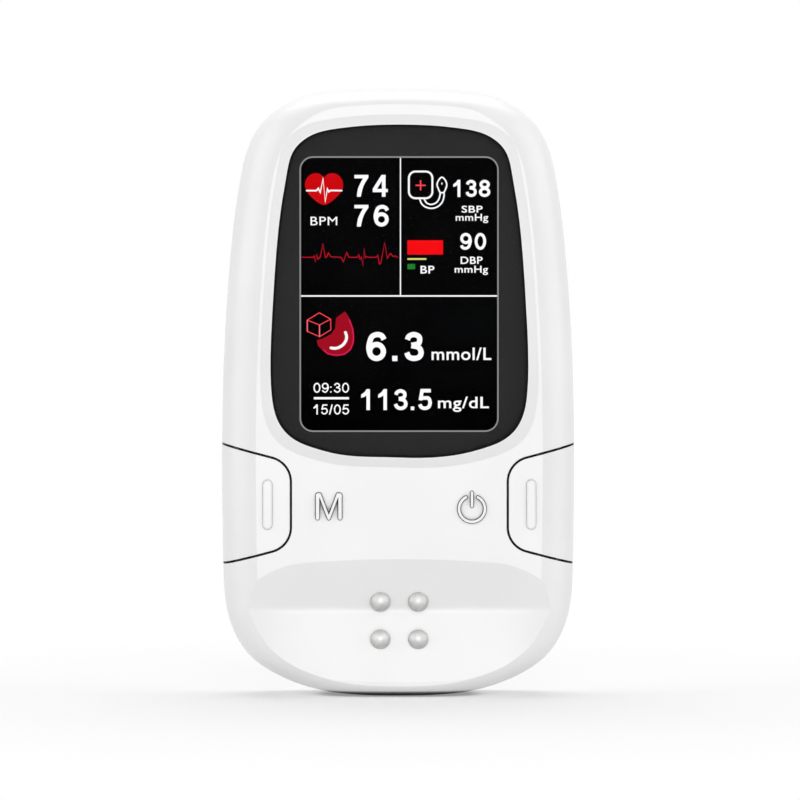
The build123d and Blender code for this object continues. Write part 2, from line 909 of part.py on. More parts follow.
def spring_contact(x, wall_height, direction):
    """Bowed leaf between the bay's end wall and a cell's flat end."""
    half = contact_width / 2
    reach = contact_spring_room - contact_thickness
    bow = ThreePointArc(
        (-half, wall_height + direction * contact_thickness),
        (0, wall_height + direction * reach),
        (half, wall_height + direction * contact_thickness),
    )
    leaf = Plane.XZ * trace(bow, line_width=contact_thickness / 2)
    foot_low = min(wall_height, wall_height + direction * contact_thickness)
    foot = Pos(0, 0, foot_low) * Box(
        contact_width,
        contact_width / 2,
        contact_thickness,
        align=(Align.CENTER, Align.CENTER, Align.MIN),
    )
    return Pos(x, cell_middle, 0) * (extrude(leaf, amount=contact_width / 4, both=True) + foot)


skin = front_skin()
right_key = side_key(skin)
nodes = {
    "front_shell": front_shell(skin),
    "rear_shell": rear_shell(),
    "battery_cover": battery_cover(),
    "window_lens": window_lens(),
    "window_mask": window_mask(),
    "mode_key": front_key(mode_glyph(0), -mode_offset),
    "power_key": front_key(power_glyph(0), power_offset),
    "left_key": mirrored(right_key),
    "right_key": right_key,
    "display_gasket": display_gasket(),
    "display_panel": display_panel(),
    "display_backlight": display_backlight(),
    "display_flex": display_flex(),
    "main_board": main_board(),
    "processor_chip": chip(
        0, screen_middle, processor_size, processor_size, processor_thickness
    ),
    "memory_chip": chip(
        memory_offset,
        screen_middle - memory_drop,
        memory_width,
        memory_height,
        small_chip_thickness,
    ),
    "power_chip": chip(
        power_chip_offset,
        key_height + power_chip_lift,
        power_chip_size,
        power_chip_size,
        small_chip_thickness,
    ),
    "buzzer": buzzer(),
    "sensor_board": sensor_board(),
    "sensor_flex": sensor_flex(),
    "battery_cell_left": battery_cell(-cell_offset, True),
    "battery_cell_right": battery_cell(cell_offset, False),
    "spring_contact_left": spring_contact(-cell_offset, bay_bottom, 1),
    "spring_contact_right": spring_contact(cell_offset, bay_top, -1),
    "flat_contact_left": flat_contact(-cell_offset, bay_top - contact_thickness),
    "flat_contact_right": flat_contact(cell_offset, bay_bottom),
    "case_screws": case_screws(),
    "board_screws": board_screws(),
}
for name, (x, z) in electrode_places.items():
    nodes[name] = electrode(x, z)
for name, x in switch_places.items():
    travel = side_key_travel if name in ("left", "right") else front_key_travel
    nodes[name + "_switch"] = switch_housing(x)
    nodes[name + "_switch_stem"] = switch_stem(x, travel)

os.makedirs("parts", exist_ok=True)
for name, solid in nodes.items():
    export_step(solid, "parts/" + name + ".step")
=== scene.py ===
import math

import bmesh
import bpy
from mathutils import Matrix, Vector


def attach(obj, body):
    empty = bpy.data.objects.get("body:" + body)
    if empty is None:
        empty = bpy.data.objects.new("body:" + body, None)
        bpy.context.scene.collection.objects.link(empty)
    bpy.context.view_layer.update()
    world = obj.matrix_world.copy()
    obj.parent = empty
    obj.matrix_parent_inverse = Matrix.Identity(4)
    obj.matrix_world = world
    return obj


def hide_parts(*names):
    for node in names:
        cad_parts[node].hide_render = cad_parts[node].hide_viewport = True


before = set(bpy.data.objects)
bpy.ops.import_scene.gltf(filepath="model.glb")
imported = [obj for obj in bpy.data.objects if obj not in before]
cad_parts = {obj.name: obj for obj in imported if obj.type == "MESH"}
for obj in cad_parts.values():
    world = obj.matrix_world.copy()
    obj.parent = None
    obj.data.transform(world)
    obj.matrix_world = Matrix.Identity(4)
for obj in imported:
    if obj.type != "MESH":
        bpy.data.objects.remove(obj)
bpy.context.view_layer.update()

print("frame loaded:", len(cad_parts), "nodes")

tolerance = 0.001  # mm, below which two points are one


def mm(value):
    return value * 0.001


# The scale that gives a noise or brick pattern features of a size in mm on Object coordinates
def patternScale(size):
    return 1000 / size


# The same for the bands of a wave pattern, which at a scale of 1 are a twentieth of tau apart
def waveScale(pitch):
    return math.tau * 1000 / (20 * pitch)


# An sRGB hex colour as linear red, green, blue and a full alpha
def colourFromHex(code):
    channels = []
    for start in (1, 3, 5):
        share = int(code[start:start + 2], 16) / 255
        channels.append(share / 12.92 if share <= 0.04045 else ((share + 0.055) / 1.055) ** 2.4)
    return (*channels, 1.0)


white = colourFromHex("#ffffff")
black = colourFromHex("#000000")


# One shader node with its settings and links: inputs by name or number, links as (node, output)
def addNode(tree, kind, settings=None, values=None, links=None):
    node = tree.nodes.new(kind)
    for name, value in (settings or {}).items():
        setattr(node, name, value)
    for name, value in (values or {}).items():
        node.inputs[name].default_value = value
    for name, (source, output) in (links or {}).items():
        tree.links.new(source.outputs[output], node.inputs[name])
    return node


def newMaterial(name):
    material = bpy.data.materials.new(name)
    material.use_nodes = True
    material.node_tree.nodes.clear()
    return material, material.node_tree


def finishMaterial(tree, shader, output="BSDF"):
    addNode(tree, "ShaderNodeOutputMaterial", links={"Surface": (shader, output)})


def setRamp(node, stops):
    ramp = node.color_ramp
    while len(ramp.elements) > len(stops):
        ramp.elements.remove(ramp.elements[-1])
    while len(ramp.elements) < len(stops):
        ramp.elements.new(0.5)
    for element, (place, colour) in zip(ramp.elements, stops):
        element.position = place
        element.color = colour


# What all finishes share: most of a noise pattern's values lie between low and high
shading = dict(low=0.3, high=0.7, blotchDetail=2.0, grainDetail=3.0, samples=6)

# The Mix node's colour sockets go by number, because its other sockets have the same names
mixSockets = dict(first=6, second=7, result=2)


# Painted shade and duller gloss in deep gaps: gives the sources of a finish's colour and roughness
def addPaintedGapShade(tree, finish, tone, rough):
    nearness = addNode(
        tree,
        "ShaderNodeAmbientOcclusion",
        settings={"samples": shading["samples"]},
        values={"Distance": mm(finish["shadeReach"])},
    )
    # Share of the colour kept for the painted shade: 1 in the open, down to 0 deep in a gap
    light = addNode(
        tree,
        "ShaderNodeMapRange",
        settings={"interpolation_type": "SMOOTHSTEP"},
        values={"From Min": finish["shadeFull"], "From Max": finish["shadeNone"]},
        links={"Value": (nearness, "AO")},
    )
    dark = addNode(
        tree,
        "ShaderNodeMapRange",
        values={"To Min": 1.0, "To Max": 0.0},
        links={"Value": (light, "Result")},
    )
    duller = addNode(
        tree,
        "ShaderNodeMath",
        settings={"operation": "MAXIMUM"},
        links={0: (rough, "Result"), 1: (dark, "Result")},
    )
    # The colour darkened by that share: painted shade
    paintedShadeColour = addNode(
        tree,
        "ShaderNodeVectorMath",
        settings={"operation": "SCALE"},
        links={"Vector": (tone, "Color"), "Scale": (light, "Result")},
    )
    return (paintedShadeColour, "Vector"), (duller, "Value")


# A solid finish: a slow change of tone, fine grain in the gloss, and a slight relief. With an edge
# it also softens sharp corners, and with a shade reach it gets painted shade in deep gaps.
def makeFinish(name, finish):
    material, tree = newMaterial(name)
    place = addNode(tree, "ShaderNodeTexCoord")
    blotches = addNode(
        tree,
        "ShaderNodeTexNoise",
        values={"Scale": patternScale(finish["blotch"]), "Detail": shading["blotchDetail"]},
        links={"Vector": (place, "Object")},
    )
    tone = addNode(tree, "ShaderNodeValToRGB", links={"Fac": (blotches, "Fac")})
    shade, colour = colourFromHex(finish["shade"]), colourFromHex(finish["colour"])
    setRamp(tone, [(shading["low"], shade), (shading["high"], colour)])
    grain = addNode(
        tree,
        "ShaderNodeTexNoise",
        values={"Scale": patternScale(finish["grain"]), "Detail": shading["grainDetail"]},
        links={"Vector": (place, "Object")},
    )
    rough = addNode(
        tree,
        "ShaderNodeMapRange",
        values={
            "From Min": shading["low"],
            "From Max": shading["high"],
            "To Min": finish["roughness"] - finish["spread"],
            "To Max": finish["roughness"] + finish["spread"],
        },
        links={"Value": (grain, "Fac")},
    )
    bump = addNode(
        tree,
        "ShaderNodeBump",
        values={"Strength": finish["bump"], "Distance": mm(finish["relief"])},
        links={"Height": (grain, "Fac")},
    )
    if "edge" in finish:
        soft = addNode(
            tree,
            "ShaderNodeBevel",
            settings={"samples": shading["samples"]},
            values={"Radius": mm(finish["edge"])},
        )
        tree.links.new(soft.outputs["Normal"], bump.inputs["Normal"])
    base, roughness = (tone, "Color"), (rough, "Result")
    # Painted shade: the colour is darkened in deep gaps, at the foot of ribs and round the domes
    if "shadeReach" in finish:
        base, roughness = addPaintedGapShade(tree, finish, tone, rough)
    sockets = dict(metallic="Metallic", ior="IOR", specular="Specular IOR Level")
    shader = addNode(
        tree,
        "ShaderNodeBsdfPrincipled",
        values={socket: finish[key] for key, socket in sockets.items() if key in finish},
        links={"Base Color": base, "Roughness": roughness, "Normal": (bump, "Normal")},
    )
    finishMaterial(tree, shader)
    return material, tree, shader, tone, place


def dress(material, *names):
    for name in names:
        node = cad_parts[name]
        node.data.materials.clear()
        node.data.materials.append(material)


# Glossy moulded ABS: a hard clear gloss over white, softened by the tool's fine polish marks
housingPlastic = dict(
    colour="#f3f3f3",
    shade="#efefef",
    roughness=0.35,
    spread=0.03,
    ior=1.53,
    grain=0.15,      # mm, fine polish marks
    blotch=14.0,     # mm, slow change of tone
    bump=0.006,
    relief=0.02,     # mm
    edge=0.16,       # mm, softened moulded edges
    shadeReach=1.2,  # mm, how far off a wall the painted shade reaches into a gap or round the foot of a rib
    shadeFull=0.3,   # share of open sky at which a gap's painted shade is quite dark
    shadeNone=0.87,  # and at which no shade is painted
)
housingWhite = makeFinish("glossWhiteAbs", housingPlastic)[0]
dress(housingWhite, "front_shell", "rear_shell", "battery_cover")

# The keys come from another tool, so their white is a touch smoother
keyPlastic = dict(
    housingPlastic,
    colour="#f2f2f2",
    shade="#eeeeef",
    roughness=0.32,
    grain=0.13,
)
signPlastic = dict(keyPlastic, shadeFull=0.0)  # the two small signs get less painted shade at their foot
dress(makeFinish("glossWhiteKeyAbs", keyPlastic)[0], "left_key", "right_key")
dress(makeFinish("glossWhiteSignAbs", signPlastic)[0], "mode_key", "power_key")

# Screen-printed black ink behind the window: dead matt, with the weave of the printing screen
printedBlack = dict(
    colour="#1a1a1a",
    shade="#171718",
    roughness=0.75,
    spread=0.12,
    grain=0.25,
    blotch=9.0,
    bump=0.15,
    relief=0.01,
    specular=0.25,
)
dress(makeFinish("matteBlackInk", printedBlack)[0], "window_mask")

# Closed-cell foam: open dark pores and no gloss
foam = dict(
    colour="#151515",
    shade="#0c0c0c",
    roughness=0.92,
    spread=0.06,
    grain=0.3,
    blotch=1.2,
    bump=0.6,
    relief=0.12,
)
dress(makeFinish("blackCellFoam", foam)[0], "display_gasket")

# Display glass over an unlit matrix: almost black, with a faint cloudy sheen
displayGlass = dict(
    colour="#030304",
    shade="#010102",
    roughness=0.12,
    spread=0.04,
    grain=0.5,
    blotch=7.0,
    bump=0.01,
    relief=0.01,
    specular=0.0,
)
dress(makeFinish("darkDisplayGlass", displayGlass)[0], "display_panel")

# Reflector tray: bright matt nylon with flow marks
tray = dict(
    colour="#e6e5df",
    shade="#d6d5cd",
    roughness=0.55,
    spread=0.1,
    grain=0.4,
    blotch=6.0,
    bump=0.1,
    relief=0.03,
)
dress(makeFinish("matteWhiteNylon", tray)[0], "display_backlight")

# Epoxy chip bodies: sooty grey with the sparkle of their filler
resin = dict(
    colour="#2c2c2e",
    shade="#202022",
    roughness=0.62,
    spread=0.15,
    grain=0.12,
    blotch=2.0,
    bump=0.25,
    relief=0.02,
)
dress(
    makeFinish("mouldedEpoxy", resin)[0], "processor_chip", "memory_chip", "power_chip", "buzzer"
)

# Switch housings: black nylon, a little shiny where the tool was polished
switchNylon = dict(resin, colour="#1e1e1f", shade="#151516", roughness=0.45, grain=0.2)
stemNylon = dict(tray, colour="#d8d0bb", shade="#c9c0a8", roughness=0.5, blotch=1.5, grain=0.2)
switchNames = ("mode_switch", "power_switch", "left_switch", "right_switch")
dress(makeFinish("blackSwitchNylon", switchNylon)[0], *switchNames)
dress(makeFinish("creamStemNylon", stemNylon)[0], *(name + "_stem" for name in switchNames))

# Satin stainless domes: an even brushed grey that spreads every highlight
satinSteel = dict(
    colour="#cececd",
    shade="#c1c1c0",
    metallic=1.0,
    roughness=0.57,
    spread=0.07,
    grain=0.1,
    blotch=1.1,
    bump=0.05,
    relief=0.01,
)
dress(
    makeFinish("satinStainless", satinSteel)[0],
    "electrode_upper_left",
    "electrode_upper_right",
    "electrode_lower_left",
    "electrode_lower_right",
)

# Nickel-plated spring strip: warmer and shinier, with rolling marks
nickel = dict(satinSteel, colour="#cfcabd", shade="#bdb7a8", roughness=0.25, grain=0.2, bump=0.1)
dress(
    makeFinish("nickelStrip", nickel)[0],
    "spring_contact_left",
    "spring_contact_right",
    "flat_contact_left",
    "flat_contact_right",
)

# Zinc-plated screws: bluish and cloudy
zinc = dict(satinSteel, colour="#b9bdc2", shade="#9fa4ab", roughness=0.38, grain=0.15, blotch=0.8)
dress(makeFinish("zincPlate", zinc)[0], "case_screws", "board_screws")
print("plain finishes done")

# Solder mask: a green lacquer that shows the copper runs under it as lighter, raised lines
boardFinish = dict(
    colour="#0f5a2c",
    shade="#0c4a25",
    roughness=0.35,
    spread=0.08,
    grain=0.3,
    blotch=8.0,
    bump=0.05,
    relief=0.02,
)
runs = dict(
    pitch=1.6,      # mm between rows
    length=8.32,    # mm
    line=0.3,       # mm
    colour="#1f8446",
    relief=0.05,    # mm
    strength=0.5,
)


def addRuns(material, tree, shader, tone, place):
    lattice = addNode(
        tree,
        "ShaderNodeMapping",
        values={"Rotation": (math.pi / 2, 0.0, 0.0)},
        links={"Vector": (place, "Object")},
    )
    twoRows = 2 * runs["pitch"]
    bricks = addNode(
        tree,
        "ShaderNodeTexBrick",
        values={
            "Color1": black,
            "Color2": black,
            "Mortar": white,
            "Scale": patternScale(twoRows),
            "Mortar Size": runs["line"] / twoRows,
            "Brick Width": runs["length"] / twoRows,
            "Row Height": runs["pitch"] / twoRows,
        },
        links={"Vector": (lattice, "Vector")},
    )
    mixed = addNode(
        tree,
        "ShaderNodeMix",
        settings={"data_type": "RGBA"},
        values={mixSockets["second"]: colourFromHex(runs["colour"])},
        links={"Factor": (bricks, "Color"), mixSockets["first"]: (tone, "Color")},
    )
    tree.links.new(mixed.outputs[mixSockets["result"]], shader.inputs["Base Color"])
    height = addNode(
        tree,
        "ShaderNodeBump",
        values={"Strength": runs["strength"], "Distance": mm(runs["relief"])},
        links={"Height": (bricks, "Color")},
    )
    tree.links.new(height.outputs["Normal"], shader.inputs["Normal"])
    return material


dress(addRuns(*makeFinish("greenSolderMask", boardFinish)), "main_board", "sensor_board")

# Polyimide ribbon: a glossy amber film over fine copper stripes
ribbonFinish = dict(
    colour="#b8691c",
    shade="#a35a14",
    roughness=0.3,
    spread=0.06,
    grain=0.4,
    blotch=3.0,
    bump=0.05,
    relief=0.02,
)
stripes = dict(pitch=0.8, colour="#7d3d0c")  # mm


def addStripes(material, tree, shader, tone, place):
    waves = addNode(
        tree,
        "ShaderNodeTexWave",
        settings={"wave_type": "BANDS", "bands_direction": "X"},
        values={"Scale": waveScale(stripes["pitch"]), "Distortion": 0.0},
        links={"Vector": (place, "Object")},
    )
    mixed = addNode(
        tree,
        "ShaderNodeMix",
        settings={"data_type": "RGBA"},
        values={mixSockets["second"]: colourFromHex(stripes["colour"])},
        links={"Factor": (waves, "Fac"), mixSockets["first"]: (tone, "Color")},
    )
    tree.links.new(mixed.outputs[mixSockets["result"]], shader.inputs["Base Color"])
    return material


dress(addStripes(*makeFinish("amberPolyimide", ribbonFinish)), "display_flex", "sensor_flex")

# Cell jackets of shrink film: a satin graphite wrap with one plain light band by the positive
# end, that leaves the metal of both ends bare
cellFinish = dict(
    colour="#3d4147",
    shade="#353940",
    roughness=0.35,
    spread=0.06,
    grain=0.3,
    blotch=10.0,
    bump=0.04,
    relief=0.02,
)
# The heights of each cell's two ends are in mm above the meter's foot
cells = dict(
    battery_cell_left=dict(film="leftCellShrinkFilm", positive=93.5, flat=49.0),
    battery_cell_right=dict(film="rightCellShrinkFilm", positive=46.0, flat=90.5),
)
cellBands = dict(
    rim=1.6,         # mm, the bare nub and rim at the positive end
    light=12.0,      # mm, to the end of the light band
    bareEnd=0.6,     # mm, bare rim at the flat end
    lightColour="#c9ccd0",
    metalColour="#b5b3ac",
)


def makeCellJacket(cell):
    material, tree, shader, tone, place = makeFinish(cell["film"], cellFinish)
    parts = addNode(tree, "ShaderNodeSeparateXYZ", links={"Vector": (place, "Object")})
    span = abs(cell["positive"] - cell["flat"])
    along = addNode(
        tree,
        "ShaderNodeMapRange",
        values={"From Min": mm(cell["positive"]), "From Max": mm(cell["flat"])},
        links={"Value": (parts, "Z")},
    )
    rim = cellBands["rim"] / span
    bare = addNode(tree, "ShaderNodeValToRGB", links={"Fac": (along, "Result")})
    bare.color_ramp.interpolation = "CONSTANT"
    setRamp(bare, [(0.0, white), (rim, black), (1 - cellBands["bareEnd"] / span, white)])
    band = addNode(tree, "ShaderNodeValToRGB", links={"Fac": (along, "Result")})
    band.color_ramp.interpolation = "CONSTANT"
    setRamp(band, [(0.0, white), (cellBands["light"] / span, black)])
    under, output = tone, "Color"
    for where, colour in ((band, cellBands["lightColour"]), (bare, cellBands["metalColour"])):
        under = addNode(
            tree,
            "ShaderNodeMix",
            settings={"data_type": "RGBA"},
            values={mixSockets["second"]: colourFromHex(colour)},
            links={"Factor": (where, "Color"), mixSockets["first"]: (under, output)},
        )
        output = mixSockets["result"]
    tree.links.new(under.outputs[output], shader.inputs["Base Color"])
    tree.links.new(bare.outputs["Color"], shader.inputs["Metallic"])
    return material


for name, cell in cells.items():
    dress(makeCellJacket(cell), name)

# Clear acrylic window: what lies behind shows through it, under a thin skin of gloss with smudges
windowFinish = dict(
    skin=0.02,        # share of the light that meets the gloss, the rest passes straight through
    colour="#0a0a0b",
    ior=1.49,
    specular=0.05,    # low, because the window is coated against reflections
    roughness=(0.04, 0.09),
    smudge=11.0,      # mm
    smudgeDetail=4.0,
    smudgeRange=(0.35, 0.65),  # values of the pattern that give the two roughnesses
    clearance=0.02,   # mm
)


def makeWindow(finish):
    material, tree = newMaterial("clearAcrylic")
    place = addNode(tree, "ShaderNodeTexCoord")
    smudges = addNode(
        tree,
        "ShaderNodeTexNoise",
        values={"Scale": patternScale(finish["smudge"]), "Detail": finish["smudgeDetail"]},
        links={"Vector": (place, "Object")},
    )
    rough = addNode(
        tree,
        "ShaderNodeMapRange",
        values={
            "From Min": finish["smudgeRange"][0],
            "From Max": finish["smudgeRange"][1],
            "To Min": finish["roughness"][0],
            "To Max": finish["roughness"][1],
        },
        links={"Value": (smudges, "Fac")},
    )
    shader = addNode(
        tree,
        "ShaderNodeBsdfPrincipled",
        values={
            "Base Color": colourFromHex(finish["colour"]),
            "IOR": finish["ior"],
            "Specular IOR Level": finish["specular"],
            "Alpha": finish["skin"],
        },
        links={"Roughness": (rough, "Result")},
    )
    finishMaterial(tree, shader)
    return material


windowAcrylic = makeWindow(windowFinish)
dress(windowAcrylic, "window_lens")


# The window shows as a copy whose back stays a hair clear of the ink that touches it, because
# faces that lie in one plane would show through each other in patches
def makeWindowPiece():
    work = bmesh.new()
    work.from_mesh(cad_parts["window_lens"].data)
    bmesh.ops.remove_doubles(work, verts=work.verts, dist=mm(tolerance))
    clearance = mm(windowFinish["clearance"])
    deepest = max(vert.co.y for vert in work.verts)
    back = [vert for vert in work.verts if vert.co.y > deepest - clearance / 2]
    bmesh.ops.translate(work, verts=back, vec=(0, -clearance, 0))
    bmesh.ops.recalc_face_normals(work, faces=work.faces)
    mesh = bpy.data.meshes.new("clearWindow")
    work.to_mesh(mesh)
    work.free()
    mesh.materials.append(windowAcrylic)
    piece = bpy.data.objects.new("clearWindow", mesh)
    bpy.context.scene.collection.objects.link(piece)
    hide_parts("window_lens")
    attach(piece, "housing")


makeWindowPiece()
print("node materials done")

# The lit screen: its visible area in mm, seen from the front, on the face of the display glass
display = dict(
    left=-17.67,
    top=95.83,
    width=35.34,
    height=48.87,
    face=-9.9,
    lift=0.03,        # from the glass to the middle of the lit layer
    thickness=0.02,
    corner=2.4,
    frameLine=0.28,
)

# Lit dots: flat colour that glows through a faint grid of dot rows and columns
dotGrid = dict(
    pitch=0.153,     # mm
    depth=0.05,      # share of the light that the gaps take
    strength=1.07,   # a little over 1, for what the window takes
)


def makeGlow(name, colour):
    material, tree = newMaterial(name)
    place = addNode(tree, "ShaderNodeTexCoord")
    levels = []
    for direction in ("X", "Z"):
        rows = addNode(
            tree,
            "ShaderNodeTexWave",
            settings={"wave_type": "BANDS", "bands_direction": direction},
            values={"Scale": waveScale(dotGrid["pitch"]), "Distortion": 0.0},
            links={"Vector": (place, "Object")},
        )
        level = addNode(
            tree,
            "ShaderNodeMapRange",
            values={"To Min": 1.0, "To Max": 1.0 - dotGrid["depth"]},
            links={"Value": (rows, "Fac")},
        )
        levels.append((level, "Result"))
    share = addNode(
        tree,
        "ShaderNodeMath",
        settings={"operation": "MULTIPLY"},
        links=dict(enumerate(levels)),
    )
    power = addNode(
        tree,
        "ShaderNodeMath",
        settings={"operation": "MULTIPLY"},
        values={1: dotGrid["strength"]},
        links={0: (share, "Value")},
    )
    shader = addNode(
        tree,
        "ShaderNodeEmission",
        values={"Color": colourFromHex(colour)},
        links={"Strength": (power, "Value")},
    )
    finishMaterial(tree, shader, "Emission")
    return material


glows = {
    name: makeGlow(name + "ScreenLight", colour)
    for name, colour in dict(
        white="#ffffff",
        grey="#8c8c8c",
        red="#f60a10",
        heartRed="#cc060c",
        deepRed="#a00c20",
        coral="#ff4652",
        traceRed="#b41025",
        pink="#ff6a78",
        rose="#d81a55",
        yellow="#e2dd7c",
        green="#1d7e30",
    ).items()
}


# Takes a mesh that was drawn flat, with the screen's upper left corner at the origin, and stands it
# on the display. Each layer lies in front of the one before.
def placeOnDisplay(name, mesh, glow, layer=0):
    depth = display["face"] - display["lift"] - layer * 2 * display["thickness"]
    stand = Matrix(
        (
            (1, 0, 0, mm(display["left"])),
            (0, 0, -1, mm(depth)),
            (0, 1, 0, mm(display["top"])),
            (0, 0, 0, 1),
        )
    )
    work = bmesh.new()
    work.from_mesh(mesh)
    bmesh.ops.remove_doubles(work, verts=work.verts, dist=mm(2 * tolerance))
    bmesh.ops.dissolve_degenerate(work, edges=work.edges, dist=mm(tolerance))
    bmesh.ops.transform(work, matrix=stand, verts=work.verts)
    bmesh.ops.recalc_face_normals(work, faces=work.faces)
    work.to_mesh(mesh)
    work.free()
    mesh.materials.clear()
    mesh.materials.append(glows[glow])
    piece = bpy.data.objects.new(name, mesh)
    bpy.context.scene.collection.objects.link(piece)
    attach(piece, "housing")


# The mesh of a curve or text that is drawn flat, which then goes away
def meshFromDrawing(name, data):
    holder = bpy.data.objects.new(name + "Drawing", data)
    bpy.context.scene.collection.objects.link(holder)
    bpy.context.view_layer.update()
    evaluated = holder.evaluated_get(bpy.context.evaluated_depsgraph_get())
    mesh = bpy.data.meshes.new_from_object(evaluated)
    mesh.name = name
    bpy.data.objects.remove(holder)
    return mesh


# Closed loops, each a list of (across, down) points in mm: a loop inside another is a hole
def meshFromLoops(name, loops):
    data = bpy.data.curves.new(name + "Outline", "CURVE")
    data.dimensions = "2D"
    data.fill_mode = "BOTH"
    data.extrude = mm(display["thickness"]) / 2
    for loop in loops:
        spline = data.splines.new("POLY")
        spline.points.add(len(loop) - 1)
        for point, (across, down) in zip(spline.points, loop):
            point.co = (mm(across), -mm(down), 0.0, 1.0)
        spline.use_cyclic_u = True
    mesh = meshFromDrawing(name, data)
    bpy.data.curves.remove(data)
    return mesh


def drawLoops(name, loops, glow, layer=0):
    placeOnDisplay(name, meshFromLoops(name, loops), glow, layer)


def boxLoop(left, up, right, down):
    return [(left, up), (right, up), (right, down), (left, down)]


# A box whose corners are quarter rounds, from the upper right one round to the right
def roundedLoop(left, up, right, down, radius, steps=8):
    loop = []
    corners = (
        (right - radius, up + radius, -90),
        (right - radius, down - radius, 0),
        (left + radius, down - radius, 90),
        (left + radius, up + radius, 180),
    )
    for across, level, start in corners:
        for step in range(steps + 1):
            angle = math.radians(start + 90 * step / steps)
            loop.append((across + radius * math.cos(angle), level + radius * math.sin(angle)))
    return loop


# Lines: a mitre reaches at most the half width divided by mitreLimit, and a round end has corners
# at these turns in degrees
bends = dict(mitreLimit=0.45, endTurns=(30, 60, 84))


# Where a line's two edges lie at each of its points: (place, direction, half width), all in mm
def lineRows(points, width, closed, roundEnds):
    spots = [Vector(point) for point in points]
    if closed:
        spots.append(spots[0])
    half = width / 2
    rows = []
    for index, spot in enumerate(spots):
        before = spot - spots[index - 1 if index else -2]
        after = spots[index + 1 if index < len(spots) - 1 else 1] - spot
        if not closed and index == 0:
            before = after
        if not closed and index == len(spots) - 1:
            after = before
        way = (before.normalized() + after.normalized()).normalized()
        reach = half / max(way.dot(before.normalized()), bends["mitreLimit"])
        rows.append((spot, way, reach))
    if roundEnds:
        startSpot, startWay = rows[0][:2]
        endSpot, endWay = rows[-1][:2]
        for turn in bends["endTurns"]:
            out = half * math.sin(math.radians(turn))
            reach = half * math.cos(math.radians(turn))
            rows.insert(0, (startSpot - startWay * out, startWay, reach))
            rows.append((endSpot + endWay * out, endWay, reach))
    return rows


# Extrudes an edge to a next one: gives the new edge, and its ends in the order of the old ones
def extrudeEdge(strip, edge, near, far):
    grown = bmesh.ops.extrude_edge_only(strip, edges=[edge])["geom"]
    edges = [part for part in grown if isinstance(part, bmesh.types.BMEdge)]
    newEdge = next(side for side in edges if near not in side.verts and far not in side.verts)
    first, second = newEdge.verts
    if near in [side.other_vert(first) for side in first.link_edges]:
        return newEdge, first, second
    return newEdge, second, first


# Adds a flat line of even width through points, with mitred bends: one edge across the line is
# extruded from point to point, and the strip is then given its thickness
def addLine(work, points, width, closed=False, roundEnds=False):
    ends = []
    for spot, way, reach in lineRows(points, width, closed, roundEnds):
        side = Vector((-way.y, way.x)) * reach
        ends.append([(mm(end.x), -mm(end.y), 0.0) for end in (spot + side, spot - side)])
    strip = bmesh.new()
    near, far = [strip.verts.new(end) for end in ends[0]]
    edge = strip.edges.new((near, far))
    for nearEnd, farEnd in ends[1:]:
        edge, near, far = extrudeEdge(strip, edge, near, far)
        near.co, far.co = nearEnd, farEnd
    if closed:
        bmesh.ops.remove_doubles(strip, verts=strip.verts, dist=mm(tolerance))
    bmesh.ops.recalc_face_normals(strip, faces=strip.faces)
    bmesh.ops.solidify(strip, geom=strip.faces, thickness=mm(display["thickness"]))
    part = bpy.data.meshes.new("line")
    strip.to_mesh(part)
    strip.free()
    work.from_mesh(part)
    bpy.data.meshes.remove(part)


def drawLines(name, lines, width, glow, layer=0, closed=False, roundEnds=True):
    work = bmesh.new()
    for line in lines:
        addLine(work, line, width, closed, roundEnds)
    mesh = bpy.data.meshes.new(name)
    work.to_mesh(mesh)
    work.free()
    placeOnDisplay(name, mesh, glow, layer)


# Points along a smooth curve through the given ones (a Catmull-Rom curve)
def smoothPath(points, closed=False, steps=6):
    spots = [Vector(point) for point in points]
    count = len(spots)
    path = []
    for index in range(count if closed else count - 1):
        if closed:
            around = [spots[(index + shift) % count] for shift in (-1, 0, 1, 2)]
        else:
            around = [spots[min(max(index + shift, 0), count - 1)] for shift in (-1, 0, 1, 2)]
        first, start, end, last = around
        for step in range(steps):
            share = step / steps
            square = share * share
            cube = square * share
            place = 0.5 * (
                2 * start
                + (end - first) * share
                + (2 * first - 5 * start + 4 * end - last) * square
                + (3 * start - first - 3 * end + last) * cube
            )
            path.append((place.x, place.y))
    if not closed:
        path.append(tuple(spots[-1]))
    return path


def ellipsePath(across, down, halfWide, halfTall, steps=32):
    return [
        (
            across + halfWide * math.cos(math.tau * step / steps),
            down + halfTall * math.sin(math.tau * step / steps),
        )
        for step in range(steps)
    ]


# Numerals: their widths as shares of their height, and how far a first 1 stands in from its box
numerals = dict(wide=0.68, narrow={".": 0.2, ":": 0.2, "/": 0.34}, oneShift=0.07)


